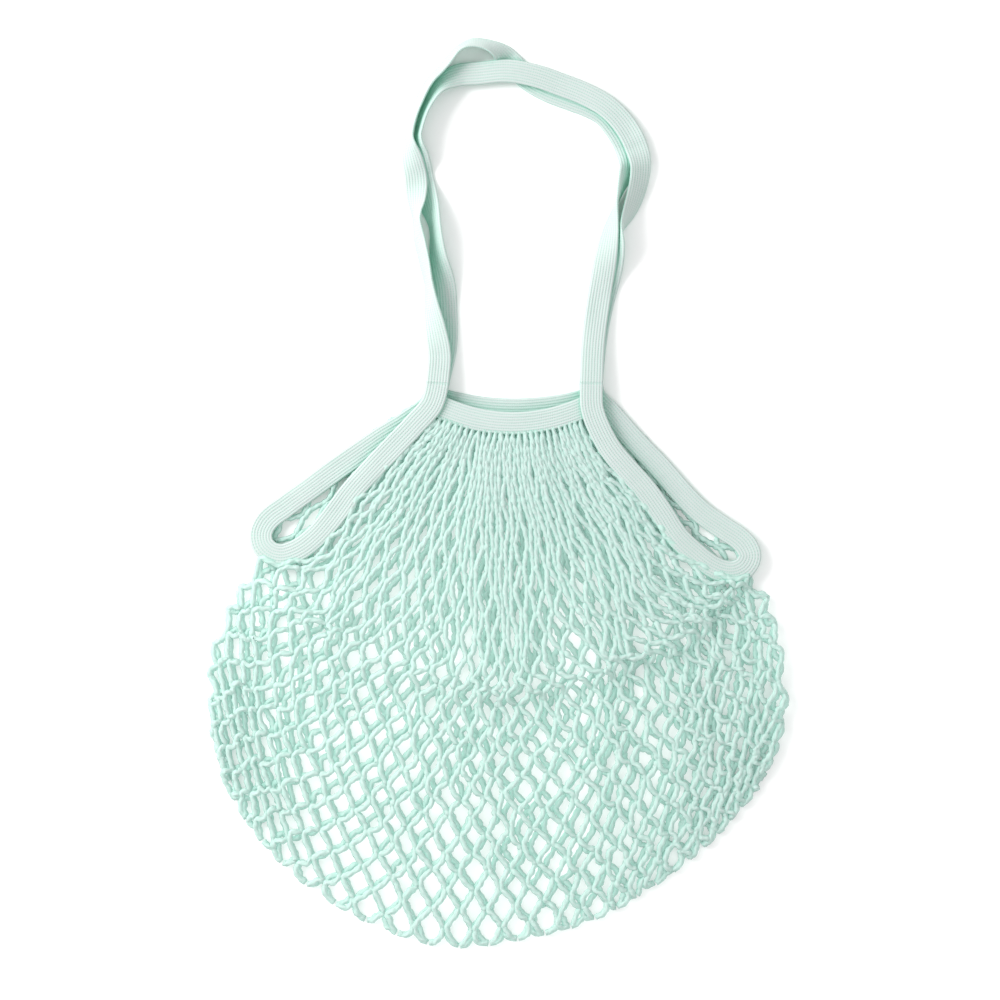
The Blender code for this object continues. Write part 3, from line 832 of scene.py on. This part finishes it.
def netFace(name, edges, folds, node, isFront, seed, material):
    # one face of the net. Its joints lie on a sheet between four edges, u across and way down, both 0 to 1.
    # settle is 0 at the rim, 1 where the tape ends and 2 at the bottom.
    top, leftTape, rightTape = edges
    columns, rows, bound = net["columns"], net["rows"], net["boundRows"]
    heights = np.interp(np.arange(rows), *np.array(rowHeight).T)
    down = np.concatenate([[0.0], np.cumsum(heights)]) / heights.sum()
    settle = np.interp(np.arange(rows + 1), (0, bound, rows), (0.0, 1.0, 2.0))
    stray = net["foldDisorder"]
    settle[bound + 1:rows] += np.random.default_rng(net["foldSeed"]).uniform(-stray, stray, rows - bound - 1)

    def sideLine(tapeLine, foldLine):
        onTape = readPath(tapeLine, np.clip(settle, 0, 1))
        onFold = readPath(foldLine, np.clip(settle - 1, 0, 1))
        return np.where((settle <= 1)[:, None], onTape, onFold)

    leftLine, rightLine = sideLine(leftTape, folds[0]), sideLine(rightTape, folds[2])
    odd = np.arange(rows + 1) % 2
    starts = np.concatenate(([0], np.cumsum(columns + 1 - odd)))
    row = np.repeat(np.arange(rows + 1), columns + 1 - odd)
    column = np.arange(starts[-1]) - starts[row]
    u = (column + 0.5 * odd[row]) / columns
    v, way = down[row], row / rows

    # transfinite sheet: sides blended by the share across, plus top and bottom blended by the share down,
    # less the four corners blended by both
    corners = leftLine[0], rightLine[0], leftLine[-1], rightLine[-1]
    uu, vv = shareAcross(u, way)[:, None], v[:, None]
    spots = (leftLine[row] * (1 - uu) + rightLine[row] * uu
             + readPath(top, u) * (1 - vv) + readPath(folds[1], shareAcross(u, 0 * u + 1)) * vv
             - corners[0] * (1 - uu) * (1 - vv) - corners[1] * uu * (1 - vv)
             - corners[2] * (1 - uu) * vv - corners[3] * uu * vv)
    free = np.ones(len(u))
    free[(row == 0) | (row == rows) | (u < 1e-9) | (u > 1 - 1e-9)] = 0.0

    # pull some columns together and others apart, as a soft net lies, then let the cords settle. The pull is
    # full inside, and falls to nothing at the four edges.
    inner = np.sin(np.pi * u) ** 0.6 * np.sin(np.pi * np.clip(way * 1.02, 0, 1)) ** 0.7 * free
    for axis, (far, wavesAcross, wavesDown) in enumerate((net["pullAcross"], net["pullDown"])):
        spots[:, axis] += inner * far * smoothNoise(u * wavesAcross, way * wavesDown, seed + axis)
    for x, y, halfWidth, halfLength, pull in bunches:
        off = spots[:, 0] - x
        hold = np.exp(-(off / halfWidth) ** 2 - ((spots[:, 1] - y) / halfLength) ** 4)
        spots[:, 0] -= free * pull * off * hold
    jitter = np.random.default_rng(seed + 2).normal(0, 1, (len(u), 2))
    spots[:, :2] += jitter * (free * np.interp(way, (0, 0.15, 0.5, 1), net["disorder"]))[:, None]
    if not isFront:
        spots[:, :2] += inner[:, None] * net["backShift"]

    lane = np.arange(2 * columns)
    joints = np.stack([starts[j] + (lane + 1 - odd[j]) // 2 for j in range(rows + 1)], axis=1)
    ends = joints[:, :-1].reshape(-1), joints[:, 1:].reshape(-1)
    reach = net["cord"] * np.random.default_rng(seed + 3).uniform(*net["cordLengths"], len(ends[0]))
    spots = relaxNet(spots, free, ends, reach)

    # heights: a face lifts off its folds within a diamond or two, and swells a little in its middle
    fromSide, fromBottom = net["liftWithin"]
    offFold = (np.clip(np.minimum(u, 1 - u) * columns / fromSide, 0, 1)
               * np.clip((1 - way) * rows / fromBottom, 0, 1))
    onTape = np.clip(1.3 - settle[row], 0, 1)    # 1 beside the tape, and 0 from a little below its end
    lift = 1 - (1 - offFold) ** 2
    if isFront:
        belly = net["belly"] * np.sin(np.pi * way) * np.sin(np.pi * u) ** 0.5
        spots[:, 2] += lift * (net["lift"] * (1 - onTape) + belly)
        high, wavesAcross, wavesDown = net["ripple"]
        spots[:, 2] += lift * high * smoothNoise(u * wavesAcross, way * wavesDown, seed + 4)
    else:
        spots[:, 2] = level["netBack"] + (spots[:, 2] - level["netBack"]) * (1 - lift)
        spots[:, 2] = np.clip(spots[:, 2], level["netBack"], level["netFold"])

    # the crowded cords of the last fifth of the columns stand higher, most halfway down the fold
    downFold, nearRight = np.clip(settle[row] - 1, 0, 1), np.clip(u * 5 - 4, 0, 1)
    swell = net["rightSwell"] * np.sin(np.pi * downFold) * nearRight ** 1.5
    spots[:, 2] += swell * (1 if isFront else net["backSwell"])

    # each cord runs from joint to joint down its own lane, standing off each joint to its own side
    paths = spots[joints]
    before, after = np.roll(paths, 1, axis=1), np.roll(paths, -1, axis=1)
    before[:, 0], after[:, -1] = paths[:, 1], paths[:, -2]
    stand = unit(((before + after) / 2 - paths) * (1, 1, 0)) * net["jointHalf"]
    stand[:, 0] = 0.0
    over = (1 - 2 * (lane % 2))[:, None] * (1 - 2 * odd)[None]
    paths = paths + stand
    paths[:, :, 2] += net["jointRise"] * over
    slope = np.zeros_like(paths)
    slope[:, 1:-1] = (paths[:, 2:] - paths[:, :-2]) / 2
    slope[:, 0] = paths[:, 1] - paths[:, 0]
    slope *= net["tension"]

    # at the bottom fold each cord runs along the fold, so that the last row hangs in rounded scallops
    foldWay = unit(np.gradient(spots[joints[:, -1]], axis=0))
    ahead = np.sum((paths[:, -1] - paths[:, -2]) * foldWay, axis=1, keepdims=True)
    slope[:, -1] = foldWay * np.sign(ahead) * net["cord"] * net["scallop"]

    # cubic between joints, with the spare cord of a short stretch bowed out sideways and up
    t = (np.arange(net["segments"]) / net["segments"])[None, None, :, None]
    p, q = paths[:, :-1, None], paths[:, 1:, None]
    m, n = slope[:, :-1, None], slope[:, 1:, None]
    curve = ((2 * t**3 - 3 * t**2 + 1) * p + (t**3 - 2 * t**2 + t) * m
             + (3 * t**2 - 2 * t**3) * q + (t**3 - t**2) * n)
    span = np.linalg.norm((q - p)[..., :2], axis=-1)
    spare = np.clip(net["cord"] - span, 0, None)
    bow = np.sqrt(3 * span * spare / 8) * net["bow"]
    bowSide = np.random.default_rng(seed + 5).choice((-1, 1), bow.shape)
    bowSide = bowSide * np.random.default_rng(seed + 6).uniform(*net["bowEach"], bow.shape)
    sideways = unit(np.stack([-(q - p)[..., 1], (q - p)[..., 0], 0 * span], axis=-1))
    hump = np.sin(np.pi * t[..., 0]) ** 1.5
    curve = curve + sideways * (bow * bowSide * hump)[..., None]
    curve[..., 2] += np.abs(bow * hump) * net["bowRise"]["front" if isFront else "back"]
    far = np.arange(rows * net["segments"]).reshape(rows, -1)[None] * net["cord"] / net["segments"]
    fast, apart = net["wanderPace"]
    wander = net["wander"] * smoothNoise(far * fast, lane[:, None, None] * apart, seed + 9)
    curve += sideways * wander[..., None]
    lines = np.concatenate([curve.reshape(2 * columns, -1, 3), paths[:, -1:]], axis=1)

    # the tubes: a little uneven, and drawn thin where they go into the rim
    step = np.arange(lines.shape[1])
    along = lengthAlong(lines)
    fast, apart = net["unevenPace"]
    wobble = 1 + net["uneven"] * smoothNoise(along * fast, lane[:, None] * apart, seed + 7)
    drawn = np.interp(step, *net["drawn"])
    radius = net["radius"] * wobble * drawn
    heading = unit(np.gradient(lines, axis=1))
    side = unit(np.cross((0.0, 0.0, 1.0), heading))
    upward = np.cross(heading, side)
    angle = np.arange(net["sides"]) / net["sides"] * 2 * np.pi
    rings = (lines[:, :, None] + radius[:, :, None, None]
             * (side[:, :, None] * np.cos(angle)[:, None] + upward[:, :, None] * np.sin(angle)[:, None]))
    tone = np.random.default_rng(seed + 8).uniform(-net["tone"], net["tone"], (2 * columns, 1))
    # the back face is drawn deeper, as painted shade under the front face
    tone = tone + (0.0 if isFront else net["backPaintedShade"])
    piece = tubeMesh(name, rings, np.linspace(0, 1, net["sides"] + 1), along, tone)
    piece.data.materials.append(material)
    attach(piece, "root")
    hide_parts(node)
    print(name, "cord", round(float(along[:, -1].sum()), 1), "m, triangles", 2 * len(piece.data.polygons))
    return piece


addCamera()
addLights()
addTable()
cordMaterial, tapeMaterial = makeCordCotton(), makeTapeCotton()
print("camera, lights, table and materials are ready")

leftPath = bindingPath(leftBinding, -1, bag["leftOpening"])
rightPath = bindingPath(rightBinding, 1, bag["rightOpening"])
halfStitch = tapeCotton["stitchMm"] / 2000    # so that the stitches run on from the handles without a seam
for name, path, seed in (("binding_left_tape", leftPath, 11), ("binding_right_tape", rightPath, 12)):
    tapePiece(name, path, flatAcross(path, np.zeros(len(path))), tapeMaterial, seed, firstStitch=halfStitch)
for name, rows, shoulder, seed in (("handle_front_tape", frontHandle, level["bindingFront"], 13),
                                   ("handle_back_tape", backHandle, level["bindingBack"], 14)):
    path, roll = handleLine(rows, shoulder)
    tapePiece(name, path, flatAcross(path, roll), tapeMaterial, seed)
rimAt = np.linspace(0.0, 1.0, rim["steps"])
rimLines = {}
for which, first, second in (("front", leftPath, rightPath), ("back", leftPath[::-1], rightPath[::-1])):
    drop, sag, height = rim[which]
    upper, middle, lower = (rimPlace(first, second, drop, sag, level[height], rimAt, np.full(rim["steps"], v))
                            for v in (0.0, 0.5, 1.0))
    tapePiece("rim_" + which + "_tape", middle, unit(upper - lower), tapeMaterial, 15)
    wide, netAt = np.linspace(*rim["netReach"], rim["netSteps"]), np.full(rim["netSteps"], rim["netAt"])
    rimLines[which] = rimPlace(first, second, drop, sag, level[height], wide, netAt)
print("tapes are laid")

folds = [foldPath(rows) for rows in (leftFold, bottomFold, rightFold)]
under = bag["tapeWidth"] / 2 - net["underTape"]
frontEdges = netEdges(leftPath, rightPath, under, rimLines["front"])
backEdges = netEdges(leftPath[::-1], rightPath[::-1], -under, rimLines["back"])
netFace("net_front_cords", frontEdges, folds, "net_front", True, 21, cordMaterial)
netFace("net_back_cords", backEdges, folds, "net_back", False, 43, cordMaterial)
print("net is knitted")
